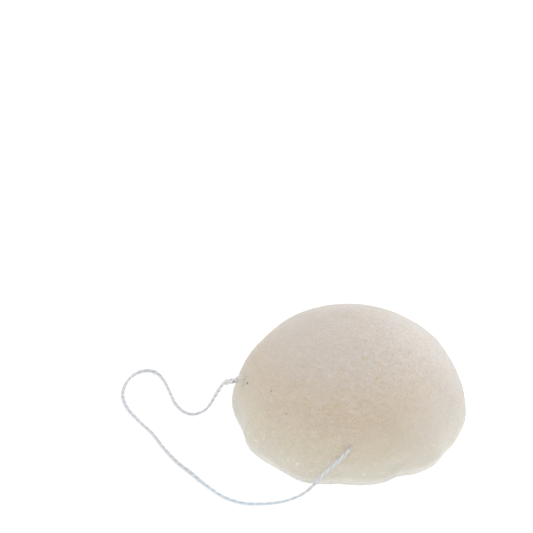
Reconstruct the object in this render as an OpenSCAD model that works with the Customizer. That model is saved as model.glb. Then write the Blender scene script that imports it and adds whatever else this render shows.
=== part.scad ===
/* [Sponge] */
// Widest size of the foam half ball from left to right
sponge_w = 77; // [50:0.5:110]
// Widest size of the foam half ball from front to back
sponge_d = 75; // [50:0.5:110]
// Height of the dome's crown over the flat base
sponge_h = 37; // [22:0.5:60]
// Height of the widest section over the flat base
rim_h = 4.5; // [2:0.1:10]
// How far the flat base draws in from the widest section, all round
foot_inset = 4; // [1:0.1:8]

/* [String] */
// Diameter of the twisted cotton string
string_d = 1.1; // [0.8:0.1:1.4]
// Clearance between the string and the wall of its channel in the foam
channel_gap = 0.15; // [0.05:0.05:0.4]

/* [Knot] */
// Diameter of the string where the knot squeezes it
knot_string_d = 0.7; // [0.5:0.05:0.75]
// Radius of the ring that the knot's turns wind along
knot_ring_r = 1; // [0.95:0.05:1.3]
// Radius at which the knot's turns wind round that ring
knot_turn_r = 0.48; // [0.46:0.01:0.52]

/* [Hidden] */

// Depth of foam that the flat base cuts off, and how far past the solid each cut runs
foot_cut = 0.5;
overrun = 1;

// Gentle swells of the hand-cast rim: waves round the rim, height as a share of the radius, bearing in degrees
swell_shares = [[3, 0.006, 114], [4, 0.008, 3], [6, 0.007, 2], [8, 0.007, 34]];

// Facets round the foam, from its rim to its crown, and from its rim to its base
around = 44;
dome_steps = 12;
foot_steps = 5;

// Sides of the string and its channel, and the longest gap between two of its rings
string_sides = 8;
ring_gap = 3.6;

// Number of rings outside the front exit that the channel through the foam still clears
mouth_rings = 3;

// The string's way from the knot, down to the table, round the open loop and up to the front exit
loop_points = [
    [-40.8, -2.0, 16.4], [-41.9, -1.2, 14.9], [-43.1, -0.4, 12.2], [-44.5, 0.6, 8.8], [-45.9, 1.3, 5.4],
    [-47.6, 1.6, 2.6], [-49.7, 1.4, 1.2], [-52.2, 1.2, 0.7], [-55.4, 3.0, 0.6], [-58.2, 7.4, 0.6],
    [-60.2, 13.4, 0.6], [-62.2, 19.4, 0.6], [-64.8, 24.2, 0.6], [-68.4, 26.0, 0.6], [-72.4, 24.2, 0.6],
    [-75.2, 19.2, 0.6], [-76.2, 12.4, 0.6], [-74.4, 5.4, 0.6], [-70.0, -2.0, 0.6], [-65.2, -8.8, 0.6],
    [-61.2, -16.4, 0.6], [-56.8, -23.4, 0.6], [-51.8, -29.4, 0.6], [-46.8, -35.6, 0.6], [-41.4, -41.0, 0.6],
    [-35.6, -44.0, 0.6], [-29.2, -44.6, 0.6], [-23.4, -43.8, 0.6], [-18.8, -42.2, 0.9], [-15.4, -40.8, 2.0],
    [-13.0, -40.2, 4.2], [-10.8, -40.2, 7.2], [-8.4, -40.4, 10.4], [-6.0, -40.0, 13.0], [-3.6, -38.8, 15.0],
    [-2.0, -37.2, 15.8], [-1.0, -35.4, 16.0]
];

// Its hidden way on through the foam, out at the left exit and on to the knot
core_points = [
    [-1.0, -35.4, 16.0], [0.2, -32.4, 16.2], [0.6, -27.4, 16.6], [-1.2, -21.4, 17.0], [-5.6, -15.6, 17.2],
    [-11.8, -10.8, 17.2], [-19.0, -7.0, 17.2], [-26.0, -4.2, 17.4], [-31.4, -2.9, 17.8], [-34.6, -2.6, 18.4],
    [-36.2, -2.6, 18.7], [-37.7, -2.5, 18.5]
];

// Width and depth of the foam that the string's points were chosen for
route_w = 77;
route_d = 75;

// Sides of the knot's string, and rings along its turns and along each of its two leads
knot_sides = 8;
knot_steps = 26;
lead_steps = 5;

// Where the knot's turns begin on their ring, in degrees
knot_start = 30;
// Reach of the leads' curves, and how far the leads lie off the ring's centre, as shares of the ring's radius
lead_reach_share = 0.55;
lead_offset_share = 1.1;
// The side of the string towards which the knot's turns hang
knot_hang = [0, -0.8, 0.6];

// The whole string as one smooth path, from the knot's far side round to its near side
string_points = [
    for (p = concat(loop_points, stretch(core_points, 1, len(core_points) - 1)))
        [p[0] * sponge_w / route_w, p[1] * sponge_d / route_d, p[2]]
];
string_path = smooth_path(string_points, len(string_points) - 1);
string_headings = directions(string_path);
front_exit = len(smooth_path(string_points, len(loop_points) - 1)) - 1;
left_end = len(string_path) - 1;

// The sum of a list of numbers
function total(list) = list * [for (number = list) 1];

// A vector at unit length
function unit(v) = v / norm(v);

// The part of a vector that is square to a heading, at unit length
function square_to(v, heading) = unit(v - (v * heading) * heading);

// The members of a list from first to last
function stretch(list, first, last) = [for (i = [first : last]) list[i]];

// The point at share s between b and c on the smooth curve through a, b, c and d
function curve_point(a, b, c, d, s) =
    (2 * b + (c - a) * s + (2 * a - 5 * b + 4 * c - d) * s * s + (3 * b - a - 3 * c + d) * s * s * s) / 2;

// A smooth curve through a list of points, as far as the given span, with a ring at least every ring_gap
function smooth_path(points, spans) =
    let (
        last = len(points) - 1,
        ends = concat([2 * points[0] - points[1]], points, [2 * points[last] - points[last - 1]])
    )
    concat(
        [
            for (i = [0 : spans - 1])
                let (steps = ceil(norm(points[i + 1] - points[i]) / ring_gap))
                for (k = [0 : steps - 1])
                    curve_point(ends[i], ends[i + 1], ends[i + 2], ends[i + 3], k / steps)
        ],
        [points[spans]]
    );

// The heading of a path at each of its points
function directions(path) =
    let (last = len(path) - 1)
    [for (i = [0 : last]) unit(path[min(i + 1, last)] - path[max(i - 1, 0)])];

// One sideways vector at each point of a path, carried along it without twisting
function sideways(headings) =
    [
        for (
            i = 0, side = square_to([0, 0, 1], headings[0]);
            i < len(headings);
            i = i + 1, side = i < len(headings) ? square_to(side, headings[i]) : side
        )
            side
    ];

// A point at share s on the curve that leaves p towards q and comes to t from r
function bend_point(p, q, r, t, s) =
    p * pow(1 - s, 3) + q * 3 * s * pow(1 - s, 2) + r * 3 * s * s * (1 - s) + t * s * s * s;

// Radius of the rim at a bearing, as a share of its mean, with its swells scaled by wave
function rim_share(bearing, wave) =
    1 + wave * total([for (swell = swell_shares) swell[1] * cos(swell[0] * (bearing - swell[2]))]);

// The swollen rim's outline and its middle and span, all as shares of its mean radius
rim_outline = [for (k = [0 : around - 1]) rim_share(360 * k / around, 1) * heading_at(360 * k / around)];
rim_low = [for (axis = [0, 1]) min([for (p = rim_outline) p[axis]])];
rim_high = [for (axis = [0, 1]) max([for (p = rim_outline) p[axis]])];

// A unit vector at a bearing on the table
function heading_at(bearing) = [cos(bearing), sin(bearing)];

// A point of the foam's surface at a bearing, at a share of the rim's reach, at a height, with its swells scaled
function foam_point(bearing, reach_share, height, wave) =
    let (
        p = rim_share(bearing, wave) * heading_at(bearing) - (rim_low + rim_high) / 2,
        x = p[0] / (rim_high[0] - rim_low[0]) * sponge_w,
        y = p[1] / (rim_high[1] - rim_low[1]) * sponge_d
    )
    [x * reach_share, y * reach_share, height];

// Rings of the foam from just under the crown, over the widest section at the rim, down past the flat base
dome_rings = [
    for (i = [1 : dome_steps])
        let (rise = 90 * (1 - i / dome_steps))
        [cos(rise), rim_h + (sponge_h - rim_h) * sin(rise), 1 - sin(rise)]
];
inset_share = 2 * foot_inset / sponge_w;
foot_rings = [
    for (i = [1 : foot_steps])
        let (fall = 90 * i / foot_steps)
        [1 - inset_share * (1 - cos(fall)), rim_h - (rim_h + foot_cut) * sin(fall), 1]
];

// The foam's half ball before its base is cut flat and its channel is opened
module foam_body() {
    rings = concat(dome_rings, foot_rings);
    last = len(rings) - 1;
    surface_points = [
        for (ring = rings, k = [0 : around - 1]) foam_point(360 * k / around, ring[0], ring[1], ring[2])
    ];
    crown = [0, 0, sponge_h];
    base_middle = [0, 0, -foot_cut];
    crown_index = len(surface_points);
    base_index = crown_index + 1;
    walls = [
        for (i = [0 : last - 1], k = [0 : around - 1], half = [0, 1])
            let (
                a = i * around + k,
                b = i * around + (k + 1) % around
            )
            half == 0 ? [a, b, b + around] : [a, b + around, a + around]
    ];
    top_fan = [for (k = [0 : around - 1]) [crown_index, (k + 1) % around, k]];
    base_fan = [for (k = [0 : around - 1]) [base_index, last * around + k, last * around + (k + 1) % around]];
    polyhedron(concat(surface_points, [crown, base_middle]), concat(walls, top_fan, base_fan));
}

// A round tube of a radius of its own at each point of a path, with flat ends square to its headings
module tube(path, headings, radii, sides) {
    side = sideways(headings);
    last = len(path) - 1;
    corners = [
        for (i = [0 : last], k = [0 : sides - 1])
            let (turn = 360 * k / sides)
            path[i] + radii[i] * (cos(turn) * side[i] + sin(turn) * cross(headings[i], side[i]))
    ];
    walls = [
        for (i = [0 : last - 1], k = [0 : sides - 1], half = [0, 1])
            let (
                a = i * sides + k,
                b = i * sides + (k + 1) % sides
            )
            half == 0 ? [a, a + sides, b + sides] : [a, b + sides, b]
    ];
    ends = [
        [for (k = [0 : sides - 1]) k],
        [for (k = [sides - 1 : -1 : 0]) last * sides + k]
    ];
    polyhedron(corners, concat(walls, ends));
}

// A stretch of the string's path as a tube of one diameter
module string_stretch(first, last, diameter) {
    tube(
        stretch(string_path, first, last),
        stretch(string_headings, first, last),
        [for (i = [first : last]) diameter / 2],
        string_sides
    );
}

// The foam half ball, cut flat where it rests, with the channel that the string runs through
module sponge() {
    color("antiquewhite")
        difference() {
            foam_body();
            translate([-sponge_w, -sponge_d, -foot_cut - overrun])
                cube([2 * sponge_w, 2 * sponge_d, foot_cut + overrun]);
            string_stretch(front_exit - mouth_rings, left_end, string_d + 2 * channel_gap);
        }
}

// The string's hidden stretch, held in the foam and out through the left exit to the knot
module string_core() {
    color("aliceblue")
        string_stretch(front_exit, left_end, string_d);
}

// The open loop that the sponge hangs from, as it lies on the table
module string_loop() {
    color("aliceblue")
        string_stretch(0, front_exit, string_d);
}

// The knot's own axes: along the string, towards the side it hangs to, and square to both
knot_from = string_path[left_end];
knot_to = string_path[0];
knot_along = unit(knot_to - knot_from);
knot_side = square_to(knot_hang, knot_along);
knot_face = cross(knot_side, knot_along);
knot_length = norm(knot_to - knot_from);

// A point in the knot's own axes, moved to its place on the string, with its ends on the string's line
function knot_place(p) =
    (knot_from + knot_to) / 2
        + (lead_offset_share * knot_ring_r - p[0]) * knot_side + p[1] * knot_along + p[2] * knot_face;

// The knot's turns: a strand that winds three times round a ring while it goes round twice
function knot_turn(a) =
    let (reach = knot_ring_r + knot_turn_r * cos(3 * a))
    [reach * cos(2 * a), -reach * sin(2 * a), knot_turn_r * sin(3 * a)];

// The overhand knot's path, from the stub at the left exit to the loop
knot_end = 360 - knot_start;
knot_enter = [lead_offset_share * knot_ring_r, -knot_length / 2, 0];
knot_leave = [lead_offset_share * knot_ring_r, knot_length / 2, 0];
lead_reach = lead_reach_share * knot_ring_r;
turn_step = (knot_end - knot_start) / knot_steps;
turn_in = unit(knot_turn(knot_start + turn_step / 2) - knot_turn(knot_start - turn_step / 2));
turn_out = unit(knot_turn(knot_end + turn_step / 2) - knot_turn(knot_end - turn_step / 2));
knot_line = concat(
    [
        for (i = [0 : lead_steps - 1])
            bend_point(
                knot_enter,
                knot_enter + [0, lead_reach, 0],
                knot_turn(knot_start) - lead_reach * turn_in,
                knot_turn(knot_start),
                i / lead_steps
            )
    ],
    [for (i = [0 : knot_steps]) knot_turn(knot_start + i * turn_step)],
    [
        for (i = [1 : lead_steps])
            bend_point(
                knot_turn(knot_end),
                knot_turn(knot_end) + lead_reach * turn_out,
                knot_leave - [0, lead_reach, 0],
                knot_leave,
                i / lead_steps
            )
    ]
);
knot_path = [for (p = knot_line) knot_place(p)];
knot_last = len(knot_path) - 1;

// Least distance between strands of the knot that are not neighbours along it, less the strand's diameter
skip = ceil(PI * knot_string_d / (knot_ring_r + knot_turn_r) * knot_steps / 4);
echo(
    knot_gap = min([
        for (i = [0 : knot_last - skip], k = [i + skip : knot_last]) norm(knot_path[i] - knot_path[k])
    ]) - knot_string_d
);

// The overhand knot that closes the loop, squeezed thinner than the string where it turns
module closing_knot() {
    headings = concat(
        [string_headings[left_end]],
        [for (i = [1 : knot_last - 1]) unit(knot_path[i + 1] - knot_path[i - 1])],
        [string_headings[0]]
    );
    color("aliceblue")
        tube(
            knot_path,
            headings,
            [
                for (i = [0 : knot_last])
                    let (ease_share = min(1, min(i, knot_last - i) / lead_steps))
                    (string_d + (knot_string_d - string_d) * ease_share) / 2
            ],
            knot_sides
        );
}

sponge();
string_core();
string_loop();
closing_knot();
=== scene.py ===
"""A half-ball konjac sponge and the cotton string that runs through it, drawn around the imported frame."""

import math

import bmesh
import bpy
import numpy as np
from mathutils import Matrix, Vector, noise


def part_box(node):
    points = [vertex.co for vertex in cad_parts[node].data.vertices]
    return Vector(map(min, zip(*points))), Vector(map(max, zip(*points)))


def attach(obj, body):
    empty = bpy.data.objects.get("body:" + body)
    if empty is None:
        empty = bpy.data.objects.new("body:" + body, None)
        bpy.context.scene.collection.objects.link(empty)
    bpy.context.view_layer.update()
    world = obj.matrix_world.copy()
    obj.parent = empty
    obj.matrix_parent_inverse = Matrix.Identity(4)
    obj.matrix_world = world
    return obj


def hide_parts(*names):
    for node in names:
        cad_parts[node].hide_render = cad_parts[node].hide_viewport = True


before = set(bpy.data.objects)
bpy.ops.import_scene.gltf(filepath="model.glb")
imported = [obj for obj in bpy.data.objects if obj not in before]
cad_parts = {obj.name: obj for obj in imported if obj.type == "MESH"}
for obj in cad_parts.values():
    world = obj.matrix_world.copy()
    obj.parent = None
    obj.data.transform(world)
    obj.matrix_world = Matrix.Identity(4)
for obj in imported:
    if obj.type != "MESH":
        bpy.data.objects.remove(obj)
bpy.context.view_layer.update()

# Lengths are in metres
MM = 0.001

# The foam half ball: its size is the frame's, and its rim and swells repeat the part's own values.
# Its foot is drawn in only as far as the photograph shows.
FOAM_LOW, FOAM_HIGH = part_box("sponge")
FOAM_W = FOAM_HIGH.x - FOAM_LOW.x
FOAM_D = FOAM_HIGH.y - FOAM_LOW.y
FOAM_H = FOAM_HIGH.z
RIM_H = 0.0045
RIM_CORNERS = 44
SWELL_SHARES = [(3, 0.006, 114), (4, 0.008, 3), (6, 0.007, 2), (8, 0.007, 34)]
FOOT_INSET = 0.0014
FOOT_CUT = 0.0005

# Corners and hollows of the hand-cast foam: bearing in degrees, height, how wide and how far out
HAND_DENTS = [
    (10, 0.005, 0.0060, -0.00035), (-24, 0.005, 0.0050, 0.00045), (-43, 0.006, 0.0056, 0.00120),
    (-65, 0.005, 0.0044, -0.00240), (-97, 0.005, 0.0058, -0.00165), (-117, 0.005, 0.0048, 0.00090),
    (-134, 0.005, 0.0050, -0.00035), (-153, 0.005, 0.0050, 0.00030), (-165, 0.006, 0.0048, -0.00115),
    (-174, 0.006, 0.0050, -0.00095), (173, 0.005, 0.0065, 0.00065),
    (30, 0.022, 0.0085, 0.00065), (163, 0.022, 0.0100, 0.00035), (60, 0.006, 0.0060, 0.00050),
    (88, 0.005, 0.0050, -0.00060), (118, 0.007, 0.0075, 0.00055), (141, 0.005, 0.0050, -0.00045),
]

# What share of the drop below a dent counts as distance from it, and a length too small to see
DENT_BELOW = 0.5
TINY = 1e-9

# How far the foam's low edge is drawn in at the front, and the height by which it no longer is
FRONT_TUCK, TUCK_RISE = 0.0009, 0.014

# Points down the foam's profile, from crown to rim and from rim to base
DOME_STEPS, FOOT_STEPS = 400, 100

# Quads along each of the 12 edges of the cube that the foam's mesh starts from, the cuts that make them
# finer round the exits, and the polar angle at which the mesh turns under
FOAM_QUADS, EXIT_CUTS = 124, 2
TURN_UNDER = math.radians(125)

# The foam's relief: how high it stands, how far apart its features are, and which noise it is
SWELL_RELIEF = (0.00022, 0.009, 3)
LUMP_RELIEF = (0.00016, 0.0026, 5)
GRAIN_RELIEF = (0.00005, 0.0010, 7)

# Heights over which the relief starts above the flat base, and over which it calms down above the rim,
# and the share of the lumps that is left there
BASE_ZONE = (0, 0.0012)
RIM_ZONE = (0.0026, 0.013)
LUMP_SHARE = 0.25

# The string's mouths in the foam: how far round them its mesh is finer and how far it is shaped, and how
# deep and wide the narrow well and the shallow dimple round it are
EXIT_ZONE = 0.0032
WELL_ZONE = 3 * EXIT_ZONE
WELL_DEPTH, WELL_R = 0.00008, 0.00045
DIMPLE_DEPTH, DIMPLE_R = 0.00006, 0.0020

# The string's thickness, and the length over which its two plies turn once round each other
STRING_D = 0.0011
LAY = 0.0056

# Each ply, drawn oval: how far its middle lies off the string's, and half its two thicknesses
PLY_OFFSET = 0.245 * STRING_D
PLY_THICK = 0.245 * STRING_D
PLY_WIDE = 0.355 * STRING_D
PLY_SIDES = 20

# Points between two of a route's points, the gap between a ply's rings, the gap left over the table, and
# the seed of the string's random draws
CURVE_STEPS = 12
RING_GAP = 0.0002
TABLE_GAP = 0.00002
STRING_SEED = 11

# How full the loop's yarn is, at shares of its length from the knot. The knot and the hidden stretch are
# as full as the loop's start.
FULLNESS_SHARES = [
    (0, 1.1), (0.03, 1.28), (0.09, 0.84), (0.15, 1.0), (0.20, 0.94), (0.27, 1.18), (0.32, 0.96),
    (0.39, 1.26), (0.46, 0.98), (0.55, 1.04), (0.64, 1.20), (0.71, 0.90), (0.76, 0.88), (0.85, 0.70),
    (0.91, 1.0), (1, 1.06),
]

# Each ply's lumps, and the ridges that its fibres make as they wind round it
SLUB, SLUB_GAP = 0.06, 0.0016
RIDGE, RIDGES, RIDGE_LEAN = 0.045, 5, 2.2

# Loose fibres on the string: how many to a millimetre, how long, and how thick, far out and curled
FUZZ_PER_MM = 1.6
FUZZ_LENGTH = (0.0005, 0.0016)
FUZZ_R, FUZZ_ROOT, FUZZ_CURL = 0.000018, 0.0003, 0.4

# How far they stand up and lean along the string, and how many of its rings they leave free at its ends
FUZZ_RISE, FUZZ_LEAN = (0.3, 1.0), (-1, 1)
FUZZ_MARGIN = 3

# One fine fibre: its steps, its sides, and how thin its tip is
FIBRE_STEPS, FIBRE_SIDES, FIBRE_TIP = 6, 4, 0.3

# Coordinates that a ply never has, which mark its ends and the loose fibres, and the edge between the two
PLAIN_UV = (-1.0, 0.0)
PLAIN_EDGE = (-0.6, -0.4)

# The knot's two cut ends, against the foam
TAILS = [
    ((-0.0392, -0.0029, 0.0176), (-0.0379, -0.0031, 0.0173), (-0.0369, -0.0028, 0.0170)),
    ((-0.0392, -0.0023, 0.0178), (-0.0379, -0.0022, 0.0175), (-0.0370, -0.0021, 0.0174)),
]

# How thick each end is, how it thins, the gap between its rings, and the share of it still twisted
TAIL_SCALE, TAIL_TIP, TAIL_GAP = 0.5, 0.35, 0.0001
TAIL_SOLID = 0.6

# How many fibres fray out of it, how thick, spread and long they are, and where none comes out: the first
# third of its twisted part and the last fifth of the whole
TAIL_FRAYS, TAIL_FRAY_R, TAIL_FAN = 44, 0.000028, 0.22
TAIL_FRAY_LENGTH = (0.0006, 0.0015)
TAIL_BARE_PART, TAIL_TIP_PART = 3, 5

# The string's route from the knot, down to the table, round the open loop and up to the front exit.
# It repeats the part's own, apart from its last four points, which follow the photograph more closely.
LOOP_POINTS = [
    (-0.0408, -0.0020, 0.0164), (-0.0419, -0.0012, 0.0149), (-0.0431, -0.0004, 0.0122),
    (-0.0445, 0.0006, 0.0088), (-0.0459, 0.0013, 0.0054), (-0.0476, 0.0016, 0.0026),
    (-0.0497, 0.0014, 0.0012), (-0.0522, 0.0012, 0.0007), (-0.0554, 0.0030, 0.0006),
    (-0.0582, 0.0074, 0.0006), (-0.0602, 0.0134, 0.0006), (-0.0622, 0.0194, 0.0006),
    (-0.0648, 0.0242, 0.0006), (-0.0684, 0.0260, 0.0006), (-0.0724, 0.0242, 0.0006),
    (-0.0752, 0.0192, 0.0006), (-0.0762, 0.0124, 0.0006), (-0.0744, 0.0054, 0.0006),
    (-0.0700, -0.0020, 0.0006), (-0.0652, -0.0088, 0.0006), (-0.0612, -0.0164, 0.0006),
    (-0.0568, -0.0234, 0.0006), (-0.0518, -0.0294, 0.0006), (-0.0468, -0.0356, 0.0006),
    (-0.0414, -0.0410, 0.0006), (-0.0356, -0.0440, 0.0006), (-0.0292, -0.0446, 0.0006),
    (-0.0234, -0.0438, 0.0006), (-0.0188, -0.0422, 0.0009), (-0.0154, -0.0408, 0.0020),
    (-0.0130, -0.0402, 0.0042), (-0.0108, -0.0402, 0.0072), (-0.0084, -0.0404, 0.0104),
    (-0.0060, -0.0400, 0.0128), (-0.0038, -0.0387, 0.0144), (-0.0024, -0.0372, 0.0151),
    (-0.0014, -0.0355, 0.0153),
]

# Its hidden way on through the foam, out at the left exit and on to the knot, and which point that exit is
CORE_POINTS = [
    (-0.0014, -0.0355, 0.0153), (0.0000, -0.0324, 0.0158), (0.0006, -0.0274, 0.0166),
    (-0.0012, -0.0214, 0.0170), (-0.0056, -0.0156, 0.0172), (-0.0118, -0.0108, 0.0172),
    (-0.0190, -0.0070, 0.0172), (-0.0260, -0.0042, 0.0174), (-0.0314, -0.0029, 0.0178),
    (-0.0346, -0.0026, 0.0184), (-0.0361, -0.0026, 0.0189), (-0.0371, -0.0026, 0.0184),
    (-0.0380, -0.0025, 0.0175),
]
LEFT_EXIT_AT = 9
FRONT_EXIT = Vector(CORE_POINTS[0])
LEFT_EXIT = Vector(CORE_POINTS[LEFT_EXIT_AT])

# The string's stretches, in order from the front exit: the piece, and the node that it stands for
STRETCHES = [
    ("string_inside", "string_core"),
    ("overhand_knot", "closing_knot"),
    ("hanging_string", "string_loop"),
]

# The overhand knot: its ring, the turns round it, and the thickness to which it squeezes string of usual
# fullness, with over how many rings inside and outside the knot's ends it does
KNOT_RING_R = 0.00098
KNOT_TURN_R = 0.00048
KNOT_STRING_D = 0.00093
THIN_INSIDE, THIN_OUTSIDE = 12, 2

# Where in degrees its turns start, which way it hangs from the string, and the points along it
KNOT_START = 30
KNOT_HANG = (0, -0.8, 0.6)
KNOT_STEPS = 160

# The string's leads into the knot: their points, how far they curve and how far off they start, the last
# two as shares of the knot's ring
LEAD_STEPS = 24
LEAD_REACH_SHARE = 0.55
LEAD_OFFSET_SHARE = 1.1

# The photograph's camera, with its angles in degrees and its lens and sensor in millimetres
CAMERA_PLACE = (-0.02710, -0.52641, 0.41355)
CAMERA_ELEVATION = 33.84
CAMERA_ROLL = -0.5
CAMERA_LENS, CAMERA_SENSOR = 135.2, 36
CAMERA_CLIP = 0.01

# The light tent: its level on the object, and a white floor with what it adds to show as white
WHITE = (1, 1, 1, 1)
TENT_LEVEL = 0.80
FLOOR_TONE, FLOOR_GLOW, FLOOR_WIDTH = 0.92, 0.38, 6

# The soft lamps, each with its name, place, the point that it faces, its width and its power
LAMPS = [
    ("side_lamp", (0.62, 0.42, 0.62), (0, 0, 0.02), 0.4, 1.9),
    ("back_right_lamp", (0.85, 0.40, 0.14), (0, 0, 0.02), 0.4, 1.1),
    ("back_left_lamp", (-0.85, 0.35, 0.12), (0, 0, 0.02), 0.4, 0.7),
    ("front_fill", (-0.25, -0.90, 0.22), (0, 0, 0.01), 0.7, 1.6),
]


def tone(red, green, blue):
    """A colour as the eye reads it, from 0 to 255, as the shader's own numbers."""
    shares = [c / 255 for c in (red, green, blue)]
    return [s / 12.92 if s <= 0.04045 else ((s + 0.055) / 1.055) ** 2.4 for s in shares] + [1]


# The foam's colours: its body from low to high, painted light on its right side, thin rim and foot, and
# what lies in it
LOW_TONE = tone(215, 206, 188)
MIDDLE_TONE = tone(212, 199, 182)
CROWN_TONE = tone(213, 204, 195)
SIDE_LIGHT_TONE = tone(213, 206, 198)
SIDE_HIGHLIGHT_TONE = tone(220, 213, 206)
RIM_LIGHT_TONE = tone(224, 219, 206)
FOOT_LIGHT_TONE = tone(246, 243, 235)
WARM_TONE = tone(212, 190, 151)
PALE_TONE = tone(222, 215, 207)
GLINT_TONE = tone(240, 236, 226)
SPECK_TONE = tone(92, 76, 58)

# Heights between which the foam takes these tones, and how far clouds shift them
MIDDLE_RISE = (0.016, 0.024)
CROWN_PALING = (0.026, 0.036)
RIM_LIGHT_PALING = (0.017, 0.004)
FOOT_LIGHT_PALING = (0.0066, 0.0020)
CLOUD_GRAIN, CLOUD_LIFT = 0.006, 0.004

# How far to the right its side is painted paler, as light from the right falls on it, and where its painted
# highlight is palest: place, and how far that reaches
SIDE_LIGHT_SPAN = (0.008, 0.036)
SIDE_HIGHLIGHT_PLACE = ((0.026, 0.008, 0.030), 0.004, 0.026)

# Heights between which light goes less deep into the foam, with how deep it goes at each
SCATTER_FALL = (0.012, 0.003, 0.003, 0.0003)

# The foam's matt surface, and the soft sheen of its fine fibres
FOAM_SURFACE = [
    ("Roughness", 0.9),
    ("Subsurface Weight", 0.8),
    ("Subsurface Radius", (1.0, 0.9, 0.75)),
    ("Specular IOR Level", 0.2),
    ("Sheen Weight", 0.8),
    ("Sheen Roughness", 0.25),
]

# Mottles, each a shift, grain, detail and roughness of noise, and the span of it that shows with its two
# levels: the warm flecks and what gathers them, the pale clouds, the low glints and what clusters them
WARM = ((0.0, 0.0015, 4, 0.72), (0.49, 0.71, 0.0, 0.75))
GATHERED = ((0.2, 0.012, 1, 0.5), (0.40, 0.58, 0.5, 1.0))
PALE = ((0.3, 0.0021, 3, 0.65), (0.50, 0.72, 0.0, 0.45))
GLINT = ((0.7, 0.0013, 2, 0.5), (0.57, 0.70, 0.0, 0.5))
CLUSTER = ((1.1, 0.006, 1, 0.5), (0.42, 0.56, 0.0, 1.0))

# How the flecks and clouds are stretched, the heights over which flecks start and glints stop, where the
# flecks gather with how far that reaches, and how strong they are away from there and in it
MOTTLE_STRETCH = (0.7, 0.9, 2.0)
WARM_RISE = (0.010, 0.018)
GLINT_FALL = (0.017, 0.011)
WARM_PLACE = ((-0.003, -0.021, 0.027), 0.010, 0.026)
WARM_LEVELS = (0.5, 1.0)

# The foam's grain, whose darker colour also paints the shade of its relief: its size, detail, roughness and
# waviness, its mean, how deep it is, and how strongly red, green and blue follow it
GRAIN_NOISE = (0.0009, 4, 0.75, 0.5)
NOISE_MEAN = 0.5
GRAIN_DEPTH = 0.00015
GRAIN_SHADE = (0.85, 1.0, 1.25)

# Where the grain is coarsest and smoothest, its painted shade strongest at the upper right where light
# grazes: place and how far it reaches, the grain's strength outside and inside, and the heights over which
# it grows with its strength at each
GRAINY_PLACE, GRAINY_LEVELS = ((0.016, -0.003, 0.032), 0.004, 0.027), (0.42, 0.80)
SMOOTH_PLACE, SMOOTH_LEVELS = ((0.018, -0.032, 0.010), 0.012, 0.024), (1.0, 0.15)
GRAIN_RISE = (0.002, 0.016, 0.6, 1.0)

# The foam's pores: how far apart, how deep and how much painted shade darkens them, and where their edges
# start and end
PORES = [(0.0009, 0.00012, 0.05), (0.0005, 0.00006, 0.04)]
PORE_EDGE = (0.10, 0.34)

# Pale knots of fibre near the foam's low edge, with painted glints of light on them: where, how far they
# reach and how strong they are
GLINTS = [
    ((-0.0310, -0.0215, 0.0075), 0.00085, 0.8),
    ((-0.0285, -0.0239, 0.0102), 0.00060, 0.6),
    ((-0.0208, -0.0313, 0.0073), 0.00080, 0.7),
    ((-0.0180, -0.0336, 0.0076), 0.00065, 0.6),
    ((-0.0134, -0.0352, 0.0060), 0.00055, 0.6),
    ((0.0032, -0.0362, 0.0052), 0.00085, 0.6),
    ((0.0129, -0.0327, 0.0061), 0.00070, 0.5),
]

# Dark specks left in the foam: where, how far they reach and how strong they are
SPECKS = [
    ((-0.03365, -0.00600, 0.01894), 0.00062, 0.9),
    ((-0.02591, -0.01645, 0.02365), 0.00040, 0.55),
    ((-0.02125, -0.02474, 0.02089), 0.00046, 0.45),
    ((-0.03676, -0.00747, 0.01032), 0.00050, 0.3),
]

# The share of a spot's reach over which it is at its full strength
SPOT_CORE_SHARE = 0.4

# The bleached cotton's colour, with painted shade in the hollows between its fibres, and on them
STRING_SHADE = tone(210, 212, 216)
STRING_TONE = tone(223, 225, 230)

# Foam dust on the string: how far round an exit it reaches, how strong it is and its tone
DUST = (0.0010, 0.0034, 0.55, tone(216, 207, 195))

# Where the string's tone is tinted: the place, how far round it, how strongly and to which tone. Painted
# cool light makes it coolest at the loop's near bend, painted light against the shade of its crevices makes
# it palest at the knot, and foam dust tints it at the exits.
STRING_LIGHT_AND_DUST_TINTS = [
    ((-0.0350, -0.0430, 0.0010), 0.0070, 0.0270, 0.80, tone(213, 228, 240)),
    ((-0.0405, -0.0020, 0.0160), 0.0030, 0.0140, 0.60, tone(236, 235, 234)),
    (FRONT_EXIT, *DUST),
    (LEFT_EXIT, *DUST),
]

# The fibres along each ply: how they lean, how they are stretched round and along it, the grain and
# detail of their noise, the span of it that shades them, and how deep they are
YARN_LEAN, YARN_STRETCH = 0.06, (14, 0.9, 1)
YARN_NOISE = (1.0, 3.0)
YARN_SPAN = (0.3, 0.7)
YARN_DEPTH = 0.00008

# The yarn's matt surface, and the share of light that a loose fibre lets through
YARN_SURFACE = [
    ("Roughness", 0.85),
    ("Subsurface Weight", 0.8),
    ("Subsurface Radius", (1.0, 1.0, 1.0)),
    ("Subsurface Scale", 0.0005),
    ("Sheen Weight", 0.3),
]
FIBRE_THROUGH = 0.5


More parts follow.
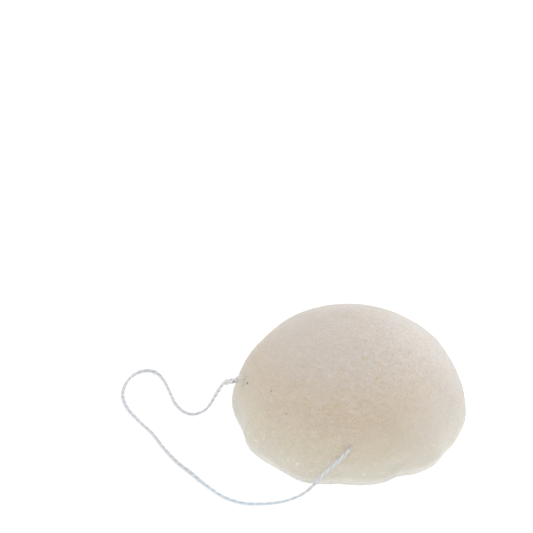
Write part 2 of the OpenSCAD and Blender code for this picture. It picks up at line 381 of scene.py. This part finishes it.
class Graph:
    """The nodes of a material or world, added and joined one at a time."""

    def __init__(self, owner):
        self.tree = owner.node_tree
        self.tree.nodes.clear()

    def add(self, kind, *plugs, **settings):
        """A node with its settings and its plugs, each the name or number of an input and what goes in."""
        made = self.tree.nodes.new("ShaderNode" + kind)
        for key, value in settings.items():
            setattr(made, key, value)
        for name, value in plugs:
            if isinstance(value, bpy.types.NodeSocket):
                self.tree.links.new(value, made.inputs[name])
            else:
                made.inputs[name].default_value = value
        return made

    def place(self):
        """The point on the piece, in metres."""
        return self.add("TexCoord").outputs["Object"]

    def shifted(self, at, way):
        """The same place, moved so far that its noise is another one."""
        return self.add("VectorMath", (0, at), (1, (way, way, way)), operation="ADD").outputs[0]

    def noise(self, at, grain, detail=2.0, roughness=0.5, wave=0.0):
        """Cloudy noise from 0 to 1, its features about as far apart as grain, in the place's own units."""
        plugs = [("Vector", at), ("Scale", 1 / grain), ("Detail", detail), ("Roughness", roughness)]
        return self.add("TexNoise", *plugs, ("Distortion", wave)).outputs["Fac"]

    def patches(self, at, kind, span):
        """Patches of noise of one kind, a shift and then what noise takes, of which only a span shows."""
        shift, *rest = kind
        return self.spread(self.noise(self.shifted(at, shift), *rest), *span)

    def shade(self, value, strengths):
        """A brightness as a colour, with how strongly red, green and blue follow it."""
        plugs = [(k, self.math("POWER", value, strength)) for k, strength in enumerate(strengths)]
        return self.add("CombineColor", *plugs).outputs[0]

    def spread(self, value, low, high, to_low=0.0, to_high=1.0):
        """A value stretched from one range to another, held at its ends and eased between them."""
        plugs = [(0, value), (1, low), (2, high), (3, to_low), (4, to_high)]
        return self.add("MapRange", *plugs, interpolation_type="SMOOTHSTEP").outputs[0]

    def math(self, how, a, b):
        """Two numbers joined by an operation."""
        return self.add("Math", (0, a), (1, b), operation=how).outputs[0]

    def near(self, at, place, inner, outer):
        """1 within one distance of a place, and 0 beyond another."""
        away = self.add("VectorMath", (0, at), (1, place), operation="DISTANCE").outputs["Value"]
        return self.spread(away, inner, outer, 1.0, 0.0)

    def times(self, *factors):
        """Numbers multiplied together."""
        product = factors[0]
        for factor in factors[1:]:
            product = self.math("MULTIPLY", product, factor)
        return product

    def mix(self, share, a, b, how="MIX"):
        """Two colours mixed by a share."""
        plugs = [(0, share), (6, a), (7, b)]
        return self.add("Mix", *plugs, data_type="RGBA", blend_type=how).outputs[2]

    def bump(self, height, depth, under=None):
        """A normal from a height of 0 to 1 that stands depth metres deep."""
        plugs = [("Height", height), ("Distance", depth), ("Strength", 1.0)]
        if under is not None:
            plugs.append(("Normal", under))
        return self.add("Bump", *plugs).outputs["Normal"]

    def seen(self):
        """1 for the rays that show the surround to the camera, straight or in gloss or glass, else 0."""
        ray = self.add("LightPath").outputs
        mirrored = self.math("MAXIMUM", ray["Is Glossy Ray"], ray["Is Transmission Ray"])
        return self.math("MAXIMUM", ray["Is Camera Ray"], mirrored)

    def finish(self, shader):
        """The material's output."""
        self.add("OutputMaterial", ("Surface", shader.outputs[0]))


def new_material(name):
    """An empty node material and its graph."""
    material = bpy.data.materials.new(name)
    material.use_nodes = True
    return material, Graph(material)


def rim_share(bearing, wave):
    """Radius of the rim at a bearing, as a share of its mean, with its swells scaled by wave."""
    swell = sum(s * np.cos(order * (bearing - math.radians(at))) for order, s, at in SWELL_SHARES)
    return 1 + wave * swell


def rim_span():
    """The lowest and highest corner of the solid's swollen rim, as shares of its mean radius."""
    bearing = np.radians(np.arange(0, 360, 360 / RIM_CORNERS))
    outline = rim_share(bearing, 1)[:, None] * np.column_stack([np.cos(bearing), np.sin(bearing)])
    return outline.min(0), outline.max(0)


RIM_LOW, RIM_HIGH = rim_span()


def foam_points(bearing, reach, height, wave):
    """Points of the foam's surface, from arrays of bearings, shares of the rim's reach and heights."""
    outline = rim_share(bearing, wave)[:, None] * np.column_stack([np.cos(bearing), np.sin(bearing)])
    shares = (outline - (RIM_LOW + RIM_HIGH) / 2) / (RIM_HIGH - RIM_LOW)
    flat = shares * [FOAM_W, FOAM_D] * reach[:, None]
    return np.column_stack([flat, height])


def rim_place(bearing, level):
    """The point of the foam's side at a bearing and a height."""
    rise = math.asin((level - RIM_H) / (FOAM_H - RIM_H))
    reach = np.array([math.cos(rise)])
    return foam_points(np.array([bearing]), reach, np.array([level]), 1 - math.sin(rise))[0]


def foam_profile():
    """The foam's profile from crown to base edge: the share of its length, its reach, height and wave."""
    rise = np.linspace(math.pi / 2, 0, DOME_STEPS)
    fall = np.linspace(0, math.asin(RIM_H / (RIM_H + FOOT_CUT)), FOOT_STEPS)[1:]
    inset_share = 2 * FOOT_INSET / FOAM_W
    reach = np.concatenate([np.cos(rise), 1 - inset_share * (1 - np.cos(fall))])
    dome_height = RIM_H + (FOAM_H - RIM_H) * np.sin(rise)
    foot_height = RIM_H - (RIM_H + FOOT_CUT) * np.sin(fall)
    height = np.concatenate([dome_height, foot_height])
    wave = np.concatenate([1 - np.sin(rise), np.ones(len(fall))])
    run = np.hypot(np.diff(reach * FOAM_W / 2), np.diff(height))
    length = np.concatenate([[0], np.cumsum(run)])
    return length / length[-1], reach, height, wave


def cube_sphere(quads):
    """Directions all round, and the quads that join them, from a cube whose faces are cut into a grid."""
    mesh = bmesh.new()
    bmesh.ops.create_cube(mesh, size=2)
    bmesh.ops.subdivide_edges(mesh, edges=mesh.edges[:], cuts=quads - 1, use_grid_fill=True)
    mesh.verts.ensure_lookup_table()
    corners = np.tan(np.array([v.co for v in mesh.verts]) * math.pi / 4)
    faces = [[v.index for v in face.verts] for face in mesh.faces]
    mesh.free()
    return corners / np.linalg.norm(corners, axis=1)[:, None], faces


def eased(value, low, high):
    """0 below low, 1 above high, and an eased step between them."""
    share = np.clip((value - low) / (high - low), 0, 1)
    return share * share * (3 - 2 * share)


def unit(vectors):
    """A vector, or each of an array's rows, at unit length."""
    return vectors / np.linalg.norm(vectors, axis=-1, keepdims=True)


def foam_mesh():
    """The foam's closed surface, even all over."""
    ways, faces = cube_sphere(FOAM_QUADS)
    polar = np.arccos(np.clip(ways[:, 2], -1, 1))
    bearing = np.arctan2(ways[:, 1], ways[:, 0])
    length, reach, height, wave = foam_profile()
    out = np.minimum(polar / TURN_UNDER, 1)
    under = np.clip((math.pi - polar) / (math.pi - TURN_UNDER), 0, 1)
    points = foam_points(
        bearing,
        np.interp(out, length, reach) * np.where(out < 1, 1, under),
        np.interp(out, length, height),
        np.interp(out, length, wave),
    )
    mesh = bpy.data.meshes.new("foam")
    mesh.from_pydata(points.tolist(), [], faces)
    return mesh


def refine_exits(mesh):
    """Cuts the faces round the two exits finer, so that the string's mouths can be shaped."""
    shaped = bmesh.new()
    shaped.from_mesh(mesh)
    for exit_point in (FRONT_EXIT, LEFT_EXIT):
        near = [e for e in shaped.edges if all((v.co - exit_point).length < EXIT_ZONE for v in e.verts)]
        bmesh.ops.subdivide_edges(shaped, edges=near, cuts=EXIT_CUTS, use_grid_fill=True)
    shaped.to_mesh(mesh)
    shaped.free()


def relief_at(points, height, grain, seed):
    """Smooth relief at each point, at most height in or out, with features about as far apart as grain."""
    shift = Vector((seed, 2 * seed, 3 * seed))
    return height * np.array([noise.noise(Vector(p) / grain + shift) for p in points])


def relief(points, normals):
    """The foam's hand-cast corners, its lumps and its grain, coarser at the rim, with a flat base."""
    flat = eased(points[:, 2], *BASE_ZONE)
    low = 1 - eased(points[:, 2], *RIM_ZONE)
    outward = unit(points * [1, 1, 0] + [TINY, 0, 0])
    push = np.zeros(len(points))
    for bearing, level, wide, rise in HAND_DENTS:
        away = points - rim_place(math.radians(bearing), level)
        away[:, 2] *= np.where(away[:, 2] < 0, DENT_BELOW, 1)
        push += rise * np.exp(-((np.linalg.norm(away, axis=1) / wide) ** 2))
    push -= FRONT_TUCK * np.clip(-outward[:, 1], 0, 1) * (1 - eased(points[:, 2], 0, TUCK_RISE))
    height = relief_at(points, *SWELL_RELIEF)
    height += (LUMP_SHARE + (1 - LUMP_SHARE) * low) * relief_at(points, *LUMP_RELIEF)
    height += (1 + low) * relief_at(points, *GRAIN_RELIEF)
    return points + normals * (height * flat)[:, None] + outward * push[:, None]


def core_heading(at):
    """The string's heading at one of the points of its hidden stretch."""
    return (Vector(CORE_POINTS[at + 1]) - Vector(CORE_POINTS[at - 1])).normalized()


def exit_wells(points, ways):
    """Draws the foam in round the string's two mouths, each a shallow dimple round a narrow well."""
    for exit_point, way in ways:
        away = points - np.array(exit_point)
        along = away @ np.array(way)
        beside = np.linalg.norm(away - along[:, None] * np.array(way), axis=1)
        near = np.linalg.norm(away, axis=1) < WELL_ZONE
        dimple = DIMPLE_DEPTH * np.exp(-((beside / DIMPLE_R) ** 2))
        well = WELL_DEPTH * np.exp(-((beside / WELL_R) ** 4))
        points = points + np.array(way) * ((dimple + well) * near)[:, None]
    return points


def new_piece(name, mesh, material, node):
    """A smooth piece of the object that stands for a node of the frame and rides with it."""
    mesh.materials.append(material)
    mesh.polygons.foreach_set("use_smooth", [True] * len(mesh.polygons))
    mesh.update()
    piece = bpy.data.objects.new(name, mesh)
    bpy.context.scene.collection.objects.link(piece)
    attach(piece, "root")
    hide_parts(node)
    return piece


def make_sponge():
    """The foam half ball, with its relief and the wells that its string goes into."""
    mesh = foam_mesh()
    refine_exits(mesh)
    points = np.array([v.co for v in mesh.vertices])
    normals = np.array([v.normal for v in mesh.vertices])
    ways_in = [(FRONT_EXIT, core_heading(1)), (LEFT_EXIT, -core_heading(LEFT_EXIT_AT))]
    points = exit_wells(relief(points, normals), ways_in)
    mesh.vertices.foreach_set("co", points.astype(np.float32).ravel())
    return new_piece("konjac_foam", mesh, foam_material(), "sponge")


def curve_points(points, first, last):
    """Points on the smooth curve through a list of points, from one of them to another."""
    ends = [2 * points[0] - points[1], *points, 2 * points[-1] - points[-2]]
    shares = np.linspace(0, 1, CURVE_STEPS, endpoint=False)[:, None]
    runs = []
    for i in range(first, last):
        a, b, c, d = ends[i : i + 4]
        square = 2 * a - 5 * b + 4 * c - d
        cube = 3 * b - a - 3 * c + d
        runs.append((2 * b + (c - a) * shares + square * shares**2 + cube * shares**3) / 2)
    return np.concatenate([*runs, [points[last]]])


def run_along(path):
    """How far along a path each of its points lies."""
    return np.concatenate([[0], np.cumsum(np.linalg.norm(np.diff(path, axis=0), axis=1))])


def evenly(path, gap):
    """The same path with a point at about every gap."""
    run = run_along(path)
    at = np.linspace(0, run[-1], max(2, round(run[-1] / gap) + 1))
    return np.column_stack([np.interp(at, run, path[:, k]) for k in range(3)])


def bend_points(p, q, r, t, shares):
    """Points on the curve that leaves p towards q and comes to t from r."""
    s = shares[:, None]
    return p * (1 - s) ** 3 + 3 * q * s * (1 - s) ** 2 + 3 * r * s * s * (1 - s) + t * s**3


def knot_turn(turn):
    """Points of a strand that winds three times round the knot's ring while it goes round twice."""
    reach = KNOT_RING_R + KNOT_TURN_R * np.cos(3 * turn)
    rise = KNOT_TURN_R * np.sin(3 * turn)
    return np.column_stack([reach * np.cos(2 * turn), -reach * np.sin(2 * turn), rise])


def knot_path(before, after):
    """The overhand knot's path from the end of one stretch of string to the start of the next."""
    start, end = before[-1], after[0]
    along = unit(end - start)
    hang = np.array(KNOT_HANG, float)
    side = unit(hang - (hang @ along) * along)
    face = np.cross(side, along)
    half = np.linalg.norm(end - start) / 2
    offset = LEAD_OFFSET_SHARE * KNOT_RING_R
    lead = LEAD_REACH_SHARE * KNOT_RING_R
    turns = knot_turn(np.radians(np.linspace(KNOT_START, 360 - KNOT_START, KNOT_STEPS)))
    way_in = unit(turns[1] - turns[0])
    way_out = unit(turns[-1] - turns[-2])
    enter = np.array([offset, -half, 0])
    leave = np.array([offset, half, 0])
    axes = np.array([-side, along, face])
    come = lead * axes @ unit(start - before[-2])
    go = lead * axes @ unit(after[1] - end)
    shares = np.linspace(0, 1, LEAD_STEPS, endpoint=False)
    lead_in = bend_points(enter, enter + come, turns[0] - lead * way_in, turns[0], shares)
    lead_out = bend_points(leave, leave - go, turns[-1] + lead * way_out, turns[-1], shares)[::-1]
    line = np.concatenate([lead_in, turns, lead_out])
    middle = (start + end) / 2
    return middle + (offset - line[:, :1]) * side + line[:, 1:2] * along + line[:, 2:] * face


def string_path():
    """The string's path through the foam, the knot and the loop, and where on it each stretch ends."""
    core = np.array(CORE_POINTS)
    loop = np.array(LOOP_POINTS)
    whole = np.concatenate([loop, core[1:]])
    through = curve_points(whole, len(loop) - 1, len(whole) - 1)
    round_loop = curve_points(whole, 0, len(loop) - 1)
    stretches = [evenly(p, RING_GAP) for p in (through, knot_path(through, round_loop), round_loop)]
    joints = np.cumsum([len(p) - 1 for p in stretches])
    return np.concatenate([stretches[0], *[p[1:] for p in stretches[1:]]]), joints


def carried_sides(path):
    """The headings along a path, and a sideways vector that is carried along it without twisting."""
    headings = unit(np.gradient(path, axis=0))
    side = unit(np.cross(headings[0], [0, 0, 1]))
    sides = []
    for heading in headings:
        side = unit(side - (side @ heading) * heading)
        sides.append(side)
    return headings, np.array(sides)


def ply_rings(path, scale, rng):
    """The rings of two plies twisted round each other along a path, each ridged by its fibres."""
    headings, sides = carried_sides(path)
    across = np.cross(headings, sides)
    run = run_along(path)
    rounds = np.linspace(0, 2 * math.pi, PLY_SIDES, endpoint=False)
    lumps = np.arange(0, run[-1] + SLUB_GAP, SLUB_GAP)
    plies = []
    for ply in range(2):
        angle = (ply * math.pi - 2 * math.pi * run / LAY)[:, None]
        outward = np.cos(angle) * sides + np.sin(angle) * across
        sideward = np.cross(headings, outward)
        slub = 1 + SLUB * np.interp(run, lumps, rng.uniform(-1, 1, len(lumps)))
        ridge = 1 + RIDGE * np.cos(RIDGES * rounds + RIDGE_LEAN * run[:, None] / STRING_D)
        size = (scale * slub)[:, None] * ridge
        out = scale[:, None] * PLY_OFFSET + PLY_THICK * size * np.cos(rounds)
        wide = PLY_WIDE * size * np.sin(rounds)
        rings = path[:, None] + out[..., None] * outward[:, None] + wide[..., None] * sideward[:, None]
        rings[..., 2] = np.maximum(rings[..., 2], TABLE_GAP)
        plies.append(rings)
    return plies


def fibre_rings(line, radius):
    """The rings of one fine fibre that thins towards its tip."""
    headings, sides = carried_sides(line)
    across = np.cross(headings, sides)
    rounds = np.linspace(0, 2 * math.pi, FIBRE_SIDES, endpoint=False)[None, :, None]
    thick = (radius * np.linspace(1, FIBRE_TIP, len(line)))[:, None, None]
    return line[:, None] + thick * (np.cos(rounds) * sides[:, None] + np.sin(rounds) * across[:, None])


class Skin:
    """A mesh put together from closed tubes, with the way round and along each as its coordinates."""

    def __init__(self):
        self.points, self.faces, self.uvs = [], [], []
        self.count = 0

    def add(self, rings, run=None):
        """Adds a closed tube from its rings and how far along they lie, which a fine fibre leaves out."""
        steps, sides = rings.shape[:2]
        for i in range(steps - 1):
            here, there = self.count + i * sides, self.count + (i + 1) * sides
            for k in range(sides):
                after = (k + 1) % sides
                self.faces.append((here + k, here + after, there + after, there + k))
                if run is not None:
                    left, right, low, high = k / sides, (k + 1) / sides, run[i] / MM, run[i + 1] / MM
                    self.uvs += [(left, low), (right, low), (right, high), (left, high)]
        last = self.count + (steps - 1) * sides
        self.faces.append([self.count + k for k in reversed(range(sides))])
        self.faces.append([last + k for k in range(sides)])
        plain = 2 * sides if run is not None else 2 * sides + 4 * (steps - 1) * sides
        self.uvs += [PLAIN_UV] * plain
        self.points.append(rings.reshape(-1, 3))
        self.count += steps * sides

    def add_fibre(self, root, aim, curl, length, radius):
        """Adds one fibre that leaves its root along aim and bends towards curl, above the table."""
        shares = np.linspace(0, 1, FIBRE_STEPS)[:, None]
        line = root + length * (aim * shares + curl * shares**2)
        line[:, 2] = np.maximum(line[:, 2], 2 * radius)
        self.add(fibre_rings(line, radius))

    def mesh(self, name):
        """The mesh of all the tubes."""
        made = bpy.data.meshes.new(name)
        made.from_pydata(np.concatenate(self.points).tolist(), [], self.faces)
        made.uv_layers.new(name="plies").data.foreach_set("uv", np.array(self.uvs, np.float32).ravel())
        return made


def add_fuzz(skin, path, rng):
    """Adds the loose fibres that stand off a stretch of string."""
    headings, sides = carried_sides(path)
    across = np.cross(headings, sides)
    for _ in range(round(run_along(path)[-1] / MM * FUZZ_PER_MM)):
        at = rng.integers(FUZZ_MARGIN, len(path) - FUZZ_MARGIN)
        angle = rng.uniform(0, 2 * math.pi)
        out = math.cos(angle) * sides[at] + math.sin(angle) * across[at]
        aim = unit(out * rng.uniform(*FUZZ_RISE) + headings[at] * rng.uniform(*FUZZ_LEAN))
        curl = FUZZ_CURL * unit(rng.normal(size=3))
        skin.add_fibre(path[at] + FUZZ_ROOT * out, aim, curl, rng.uniform(*FUZZ_LENGTH), FUZZ_R)


def add_tail(skin, points, rng):
    """Adds one of the knot's cut ends, which frays at its tip."""
    path = evenly(curve_points(np.array(points), 0, len(points) - 1), TAIL_GAP)
    solid = path[: round(TAIL_SOLID * len(path))]
    scale = TAIL_SCALE * np.linspace(1, TAIL_TIP, len(solid))
    for rings in ply_rings(solid, scale, rng):
        skin.add(rings, run_along(solid))
    headings = unit(np.gradient(path, axis=0))
    for _ in range(TAIL_FRAYS):
        at = rng.integers(len(solid) // TAIL_BARE_PART, len(path) - len(path) // TAIL_TIP_PART)
        aim = unit(headings[at] + TAIL_FAN * rng.normal(size=3))
        root = path[at] + TAIL_FRAY_R * rng.normal(size=3)
        curl = TAIL_FAN * unit(rng.normal(size=3))
        skin.add_fibre(root, aim, curl, rng.uniform(*TAIL_FRAY_LENGTH), TAIL_FRAY_R)


def string_scale(run, joints):
    """How thick the string is along its path, as a share of its usual thickness."""
    middle = (joints[0] + joints[1]) / 2
    half = (joints[1] - joints[0]) / 2
    from_middle = np.abs(np.arange(len(run)) - middle)
    in_knot = 1 - eased(from_middle, half - THIN_INSIDE, half + THIN_OUTSIDE)
    loop_share = (run - run[joints[1]]) / (run[-1] - run[joints[1]])
    return np.interp(loop_share, *zip(*FULLNESS_SHARES)) * (1 + (KNOT_STRING_D / STRING_D - 1) * in_knot)


def make_string():
    """The string's three pieces, from one path: its hidden stretch, its knot and its open loop."""
    rng = np.random.default_rng(STRING_SEED)
    path, joints = string_path()
    run = run_along(path)
    plies = ply_rings(path, string_scale(run, joints), rng)
    material = string_material()
    for (name, node), first, last in zip(STRETCHES, [0, *joints], joints):
        skin = Skin()
        cut = slice(first, last + 1)
        for rings in plies:
            skin.add(rings[cut], run[cut])
        if name != "string_inside":
            add_fuzz(skin, path[cut], rng)
        if name == "overhand_knot":
            for points in TAILS:
                add_tail(skin, points, rng)
        new_piece(name, skin.mesh(name), material, node)


def foam_body(graph, at, height):
    """The foam's body colour, from low to crown, with painted light that makes its right side, its rim and
    its foot paler.
    """
    across = graph.add("SeparateXYZ", (0, at)).outputs["X"]
    colour = graph.mix(graph.spread(height, *MIDDLE_RISE), LOW_TONE, MIDDLE_TONE)
    colour = graph.mix(graph.spread(height, *CROWN_PALING), colour, CROWN_TONE)
    # Painted light: the right side paler, with a painted highlight at its upper right
    colour = graph.mix(graph.spread(across, *SIDE_LIGHT_SPAN), colour, SIDE_LIGHT_TONE)
    colour = graph.mix(graph.near(at, *SIDE_HIGHLIGHT_PLACE), colour, SIDE_HIGHLIGHT_TONE)
    # Painted light: the thin rim paler, as if lit through and from the floor below
    colour = graph.mix(graph.spread(height, *RIM_LIGHT_PALING), colour, RIM_LIGHT_TONE)
    # Painted light: the foot near white, against the shade under its curve
    return graph.mix(graph.spread(height, *FOOT_LIGHT_PALING), colour, FOOT_LIGHT_TONE)


def foam_mottles(graph, at, height, colour):
    """The foam's colour with its warm flecks, pale clouds, painted glints of light on pale fibre low down,
    and dark specks.
    """
    flat = graph.add("Mapping", ("Vector", at), ("Scale", MOTTLE_STRETCH)).outputs[0]
    middle = graph.spread(graph.near(at, *WARM_PLACE), 0, 1, *WARM_LEVELS)
    share = graph.times(graph.patches(at, *GATHERED), middle, graph.spread(height, *WARM_RISE))
    colour = graph.mix(graph.times(graph.patches(flat, *WARM), share), colour, WARM_TONE)
    colour = graph.mix(graph.patches(flat, *PALE), colour, PALE_TONE)
    low = graph.spread(height, *GLINT_FALL)
    glint = graph.times(graph.patches(at, *GLINT), graph.patches(at, *CLUSTER), low)
    # Painted glints of light on pale fibre near the low edge
    colour = graph.mix(glint, colour, GLINT_TONE)
    # The listed painted glints, then the dark specks
    for spots, spot_tone in ((GLINTS, GLINT_TONE), (SPECKS, SPECK_TONE)):
        for place, size, depth in spots:
            spot = graph.near(at, place, SPOT_CORE_SHARE * size, size)
            colour = graph.mix(graph.times(spot, depth), colour, spot_tone)
    return colour


def foam_grain(graph, at, height):
    """How bright the foam's grain and pores leave its colour, with painted shade of their relief, and the
    normal that they give it.
    """
    wavy = graph.noise(at, *GRAIN_NOISE)
    coarse = graph.spread(graph.near(at, *GRAINY_PLACE), 0, 1, *GRAINY_LEVELS)
    smooth = graph.spread(graph.near(at, *SMOOTH_PLACE), 0, 1, *SMOOTH_LEVELS)
    strength = graph.times(coarse, smooth, graph.spread(height, *GRAIN_RISE))
    # Painted shade: the grain darkens the colour as light would shade its relief
    grain = graph.math("ADD", graph.times(graph.math("SUBTRACT", wavy, NOISE_MEAN), strength), 1.0)
    normal = graph.bump(wavy, GRAIN_DEPTH)
    for gap, depth, shade in PORES:
        pore = graph.add("TexVoronoi", ("Vector", at), ("Scale", 1 / gap)).outputs["Distance"]
        pore = graph.spread(pore, *PORE_EDGE)
        normal = graph.bump(pore, depth, normal)
        # Painted shade in each pore
        grain = graph.times(grain, graph.spread(pore, 0, 1, 1 - shade, 1.0))
    return grain, normal


def foam_material():
    """Dried plant-fibre foam, pale cream with painted light at its thin rim and foot, with mottles, grain
    and specks.
    """
    material, graph = new_material("konjac_foam")
    at = graph.place()
    cloud = graph.math("MULTIPLY", graph.noise(at, CLOUD_GRAIN), CLOUD_LIFT)
    height = graph.math("ADD", graph.add("SeparateXYZ", (0, at)).outputs["Z"], cloud)
    colour = foam_mottles(graph, at, height, foam_body(graph, at, height))
    grain, normal = foam_grain(graph, at, height)
    # The grain's tone and painted shade multiply the colour
    colour = graph.mix(1.0, colour, graph.shade(grain, GRAIN_SHADE), "MULTIPLY")
    scatter = graph.spread(height, *SCATTER_FALL)
    plugs = [("Base Color", colour), ("Normal", normal), ("Subsurface Scale", scatter)]
    graph.finish(graph.add("BsdfPrincipled", *plugs, *FOAM_SURFACE))
    return material


def string_material():
    """Bleached cotton yarn, cool white, with fibres along each ply and loose ones that let light in."""
    material, graph = new_material("cotton_yarn")
    uv = graph.add("UVMap", uv_map="plies").outputs[0]
    plugs = [("Vector", uv), ("Rotation", (0, 0, YARN_LEAN)), ("Scale", YARN_STRETCH)]
    fibres = graph.noise(graph.add("Mapping", *plugs).outputs[0], *YARN_NOISE)
    # Painted shade between the fibres
    colour = graph.mix(graph.spread(fibres, *YARN_SPAN), STRING_SHADE, STRING_TONE)
    at = graph.place()
    # Painted light at the loop's bend and the knot, and foam dust at the exits
    for place, inner, outer, depth, tint in STRING_LIGHT_AND_DUST_TINTS:
        colour = graph.mix(graph.times(graph.near(at, place, inner, outer), depth), colour, tint)
    plugs = [("Base Color", colour), ("Normal", graph.bump(fibres, YARN_DEPTH))]
    yarn = graph.add("BsdfPrincipled", *plugs, *YARN_SURFACE)
    loose = graph.spread(graph.add("SeparateXYZ", (0, uv)).outputs["X"], *PLAIN_EDGE, 1.0, 0.0)
    lit = graph.add("BsdfDiffuse", ("Color", STRING_TONE))
    through = graph.add("BsdfTranslucent", ("Color", STRING_TONE))
    fibre = graph.add("MixShader", (0, FIBRE_THROUGH), (1, lit.outputs[0]), (2, through.outputs[0]))
    graph.finish(graph.add("MixShader", (0, loose), (1, yarn.outputs[0]), (2, fibre.outputs[0])))
    return material


def make_floor():
    """A wide white floor that shows as white to the camera and still keeps the object's shadow."""
    material, graph = new_material("floor")
    diffuse = graph.add("BsdfDiffuse", ("Color", (FLOOR_TONE, FLOOR_TONE, FLOOR_TONE, 1)))
    shown = graph.math("MULTIPLY", graph.seen(), FLOOR_GLOW)
    glow = graph.add("Emission", ("Color", WHITE), ("Strength", shown))
    graph.finish(graph.add("AddShader", (0, diffuse.outputs[0]), (1, glow.outputs[0])))
    bpy.ops.mesh.primitive_plane_add(size=FLOOR_WIDTH, location=(0, 0, 0))
    floor = bpy.context.object
    floor.name = "floor"
    floor.data.materials.append(material)


def make_world():
    """An even white surround, as in a light tent, shown as white where the camera looks past the floor."""
    world = bpy.data.worlds.new("tent")
    world.use_nodes = True
    graph = Graph(world)
    strength = graph.spread(graph.seen(), 0, 1, TENT_LEVEL, 1.0)
    back = graph.add("Background", ("Color", WHITE), ("Strength", strength))
    graph.add("OutputWorld", ("Surface", back.outputs[0]))
    bpy.context.scene.world = world


def make_lamp(name, place, aim, size, power):
    """A large soft lamp at a place, turned to a point."""
    data = bpy.data.lights.new(name, "AREA")
    data.shape = "DISK"
    data.size = size
    data.energy = power
    lamp = bpy.data.objects.new(name, data)
    lamp.location = place
    lamp.rotation_euler = (Vector(aim) - Vector(place)).to_track_quat("-Z", "Y").to_euler()
    bpy.context.scene.collection.objects.link(lamp)


def make_camera():
    """The photograph's view."""
    data = bpy.data.cameras.new("camera")
    data.sensor_width = CAMERA_SENSOR
    data.lens = CAMERA_LENS
    data.clip_start = CAMERA_CLIP
    camera = bpy.data.objects.new("camera", data)
    tilt = Matrix.Rotation(math.radians(90 - CAMERA_ELEVATION), 4, "X")
    roll = Matrix.Rotation(math.radians(CAMERA_ROLL), 4, "Z")
    camera.matrix_world = Matrix.Translation(CAMERA_PLACE) @ tilt @ roll
    bpy.context.scene.collection.objects.link(camera)
    bpy.context.scene.camera = camera


make_camera()
make_world()
for lamp_row in LAMPS:
    make_lamp(*lamp_row)
make_floor()
sponge = make_sponge()
make_string()
bpy.context.scene.view_settings.view_transform = "Standard"
